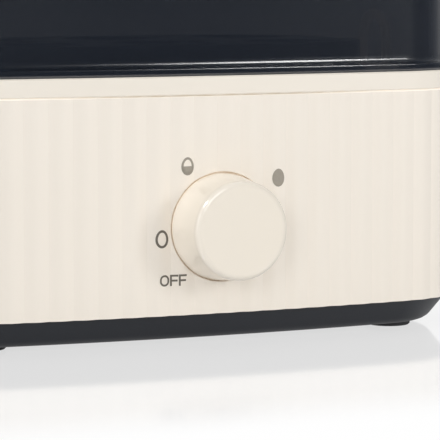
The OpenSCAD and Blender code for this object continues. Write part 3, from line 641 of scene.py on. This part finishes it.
# %% Inner parts
inner_finishes = {
    "thermostat": ("phenolic resin", (62, 46, 36), (72, 54, 42), 0.5),
    "thermal_fuse": ("glazed ceramic", (214, 202, 170), (224, 212, 184), 0.3),
    "control_board": ("green board", (30, 98, 62), (38, 112, 72), 0.35),
    "rotary_control": ("dark control case", (70, 74, 82), (80, 84, 92), 0.5),
    "relay": ("blue relay case", (42, 84, 146), (48, 92, 156), 0.3),
    "buzzer": ("black buzzer case", (30, 30, 32), (36, 36, 38), 0.5),
    "film_capacitor": ("yellow capacitor case", (206, 176, 62), (214, 186, 74), 0.32),
    "board_terminals": ("green terminal case", (58, 136, 88), (66, 146, 96), 0.42),
    "terminal_block": ("white terminal case", (228, 228, 224), (220, 220, 214), 0.45),
    "leads": ("red lead cover", (168, 52, 40), (178, 60, 48), 0.45),
    "tab_sleeves": ("white sleeve", (226, 222, 210), (218, 214, 200), 0.5),
}
inner_grain = 1900.0
inner_depth = 0.00002
for piece, (name, first, second, rough) in inner_finishes.items():
    dress(moulded(name, first, second, rough, inner_grain, inner_depth), piece)
print(len(inner_finishes), "inner parts dressed")

# %% [markdown]
# ## The printed scale
# Four marks stand round the knob: OFF, an empty egg, a half-filled egg and a full egg. They are printed with
# a soft pad, so the ink follows the flutes. Each mark is drawn flat, cut into narrow upright strips, and
# every point is then dropped on the housing along the way that the pad moves.

# %% The flutes as a surface to print on
housing = nodes["fluted_housing"]
housing_tree = BVHTree.FromPolygons(
    [v.co.copy() for v in housing.data.vertices],
    [tuple(p.vertices) for p in housing.data.polygons])
ink_height = 0.00006
pad_start = -0.2


def on_flutes(x, z):
    place = housing_tree.ray_cast(Vector((x, pad_start, z)), Vector((0, 1, 0)))[0]
    return place.y - ink_height


print("flute above the knob at y =", round(on_flutes(0.0, 0.065), 5))

# %% Ink
def ink(name, colour, other):
    finish = Finish(name)
    speckle = finish.noise(1400.0, 2.0)
    return finish.surface({
        "Base Color": finish.between(from_screen(*colour), from_screen(*other), speckle),
        "Roughness": 0.5 + (speckle - 0.5) * 0.1,
    })


dark_ink = ink("dark brown ink", (96, 90, 80), (108, 102, 92))
pale_ink = ink("pale brown ink", (146, 139, 127), (158, 151, 139))
print("inks:", dark_ink.name, "and", pale_ink.name)

# %% Printing one mark
strip_width = 0.0003
print("ink is cut into strips of", strip_width * 1000, "mm")


def fill_outlines(mesh, loops):
    """Each loop is a closed outline of points (x, z) in metres, or a pair of outlines round a band."""
    for loop in loops:
        if len(loop) == 2:
            outer = [mesh.verts.new((x, 0, z)) for x, z in loop[0]]
            inner = [mesh.verts.new((x, 0, z)) for x, z in loop[1]]
            count = len(outer)
            for i in range(count):
                j = (i + 1) % count
                mesh.faces.new((outer[i], outer[j], inner[j], inner[i]))
        else:
            mesh.faces.new([mesh.verts.new((x, 0, z)) for x, z in loop])


def print_mark(name, loops, colour):
    mesh = bmesh.new()
    fill_outlines(mesh, loops)
    bmesh.ops.triangulate(mesh, faces=mesh.faces[:])
    low = min(v.co.x for v in mesh.verts)
    high = max(v.co.x for v in mesh.verts)
    for i in range(1, int((high - low) / strip_width) + 1):
        parts = mesh.verts[:] + mesh.edges[:] + mesh.faces[:]
        cut = (low + i * strip_width, 0, 0)
        bmesh.ops.bisect_plane(mesh, geom=parts, plane_co=cut, plane_no=(1, 0, 0))
    for v in mesh.verts:
        v.co.y = on_flutes(v.co.x, v.co.z)
    bmesh.ops.recalc_face_normals(mesh, faces=mesh.faces[:])
    for f in mesh.faces:
        if f.normal.y > 0:
            f.normal_flip()
    data = bpy.data.meshes.new(name)
    mesh.to_mesh(data)
    mesh.free()
    data.materials.append(colour)
    mark = bpy.data.objects.new(name, data)
    bpy.context.scene.collection.objects.link(mark)
    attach(mark, "base")
    print(name, "has", len(data.polygons), "strips and corners")


# %% Eggs
def seen_at(pixel):
    """The point on the housing's front that shows at this pixel, as (x, z)."""
    dx = (pixel[0] - picture_middle) / focal_pixels
    dy = (picture_middle - pixel[1]) / focal_pixels
    ahead = (aim - eye).normalized()
    right = ahead.cross(Vector((0, 0, 1))).normalized()
    ray = ahead + right * dx + right.cross(ahead) * dy
    place = housing_tree.ray_cast(eye, ray.normalized())[0]
    return place.x, place.z


egg_wide = 0.0049
egg_tall = 0.00628
egg_taper = 0.06
line_width = 0.00085
fill_over = 0.00002


def egg(centre, wide, tall, count=40):
    """An egg's outline, with its broad end down."""
    points = []
    for i in range(count):
        angle = 2 * math.pi * i / count
        up = math.sin(angle)
        across = wide / 2 * math.cos(angle) * (1 - egg_taper * up)
        points.append((centre[0] + across, centre[1] + tall / 2 * up))
    return points


def egg_band(centre):
    inner_wide = egg_wide - 2 * line_width
    inner_tall = egg_tall - 2 * line_width
    return [egg(centre, egg_wide, egg_tall), egg(centre, inner_wide, inner_tall)]


empty_at = seen_at((162.1, 239.3))
half_at = seen_at((187.7, 166.3))
full_at = seen_at((278.5, 177.6))
half_egg = egg(half_at, egg_wide - line_width, egg_tall - line_width)
half_fill = [p for p in half_egg if p[1] <= half_at[1] + fill_over]
print_mark("mark_empty_egg", [egg_band(empty_at)], dark_ink)
print_mark("mark_half_egg", [egg_band(half_at), half_fill], pale_ink)
print_mark("mark_full_egg", [egg(full_at, egg_wide, egg_tall)], pale_ink)

# %% The word OFF
letter_tall = 0.0039
letter_line = 0.00066
o_wide = 0.0036
o_round = 0.47
f_wide = 0.0029
f_waist_drop = 0.02
f_short_bar = 0.9


def bar(x0, z0, x1, z1):
    return [(x0, z0), (x1, z0), (x1, z1), (x0, z1)]


def round_corners(x, z, wide, tall, radius, count=9):
    points = []
    for k, (sx, sz) in enumerate([(1, 1), (-1, 1), (-1, -1), (1, -1)]):
        for i in range(count):
            a = math.pi / 2 * (k + i / (count - 1))
            px = x + sx * (wide / 2 - radius) + radius * math.cos(a)
            pz = z + sz * (tall / 2 - radius) + radius * math.sin(a)
            points.append((px, pz))
    return points


def letter_o(x, z):
    radius = o_wide * o_round
    inner_wide = o_wide - 2 * letter_line
    inner_tall = letter_tall - 2 * letter_line
    return [round_corners(x, z, o_wide, letter_tall, radius),
            round_corners(x, z, inner_wide, inner_tall, radius - letter_line)]


def letter_f(x, z):
    """An upright, a top bar, and a shorter bar just below the middle."""
    low = z - letter_tall / 2
    high = z + letter_tall / 2
    waist = z - f_waist_drop * letter_tall
    stem = x + letter_line
    return [bar(x, low, stem, high),
            bar(stem, high - letter_line, x + f_wide, high),
            bar(stem, waist - letter_line / 2, x + f_wide * f_short_bar, waist + letter_line / 2)]


o_at = seen_at((164.6, 280.9))
first_f = seen_at((170.0, 280.5))
second_f = seen_at((178.8, 280.1))
print_mark("mark_off_word", [letter_o(*o_at)] + letter_f(*first_f) + letter_f(*second_f), dark_ink)

# %% [markdown]
# ## Recesses in the screw heads
# A punch presses a cross into each screw head while the head is formed. It is too fine to matter for the
# solids, but a bare disc looks unfinished from below. Each cross is a dark floor a hair above the head, its
# dark grey a painted shade for the depth of the recess, with sloping lips round it that catch the light as
# the pressed edge does.

# %% The painted shade of a recess
pressed = Finish("pressed recess")
grit = pressed.noise(2400.0, 2.0)
painted_recess_shade = pressed.surface({
    "Base Color": pressed.between(from_screen(58, 58, 60), from_screen(74, 74, 76), grit),
    "Metallic": 1.0,
    "Roughness": 0.55 + (grit - 0.5) * 0.2,
})
print("finish:", painted_recess_shade.name)

# %% Finding the screw heads
same_level = 0.00001
head_reach = 0.008
heads_down = (2, -1)
heads_up = (2, 1)
heads_back = (1, 1)


def head_centres(node, facing):
    """Middles of the round heads of a fastener node. facing is an axis and a side of it."""
    axis, side = facing
    mesh = nodes[node].data
    level = side * max(side * v.co[axis] for v in mesh.vertices)
    others = [i for i in range(3) if i != axis]
    groups = []
    for v in mesh.vertices:
        if abs(v.co[axis] - level) < same_level:
            near = [g for g in groups if (g[0] - v.co).length < head_reach]
            if near:
                near[0].append(v.co.copy())
            else:
                groups.append([v.co.copy()])
    centres = []
    for group in groups:
        centre = Vector((0, 0, 0))
        for i in others:
            values = [p[i] for p in group]
            centre[i] = (min(values) + max(values)) / 2
        centre[axis] = level
        centres.append(centre)
    return centres


print(len(head_centres("base_screws", heads_down)), "screws hold the base")

# %% Crosses on the screw heads
cross_lift = 0.00004
lip_lift = 0.00001
lip_grow = 1.12
large_cross = (0.0019, 0.00042)
small_cross = (0.0014, 0.00034)


def cross_outline(arm, half):
    quarter = [(arm, -half), (arm, half), (half, half)]
    turns = [(1, 0), (0, 1), (-1, 0), (0, -1)]
    return [(x * c - y * s, x * s + y * c) for c, s in turns for x, y in quarter]


def press_crosses(name, node, facing, body, size):
    axis, side = facing
    arm, half = size
    first, second = [i for i in range(3) if i != axis]
    centres = head_centres(node, facing)
    vertices = []
    faces = []
    for centre in centres:
        start = len(vertices)
        for grow, lift in ((1.0, cross_lift), (lip_grow, lip_lift)):
            for u, v in cross_outline(arm * grow, half * grow):
                point = centre.copy()
                point[first] += u
                point[second] += v
                point[axis] += side * lift
                vertices.append(point)
        count = (len(vertices) - start) // 2
        faces.append([start + i for i in range(count)])
        for i in range(count):
            j = (i + 1) % count
            faces.append([start + i, start + count + i, start + count + j, start + j])
    data = bpy.data.meshes.new(name)
    data.from_pydata(vertices, [], faces)
    data.materials.append(painted_recess_shade)
    piece = bpy.data.objects.new(name, data)
    bpy.context.scene.collection.objects.link(piece)
    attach(piece, body)
    print(name, "has", len(centres), "crosses")


press_crosses("recess_base_screws", "base_screws", heads_down, "base", large_cross)
press_crosses("recess_handle_screws", "handle_screws", heads_down, "lid", large_cross)
press_crosses("recess_block_screw", "block_screw", heads_up, "base", large_cross)
press_crosses("recess_board_screws", "board_screws", heads_back, "base", small_cross)

# %% [markdown] The dressed cooker keeps the size of the solid one; nothing here scales it.
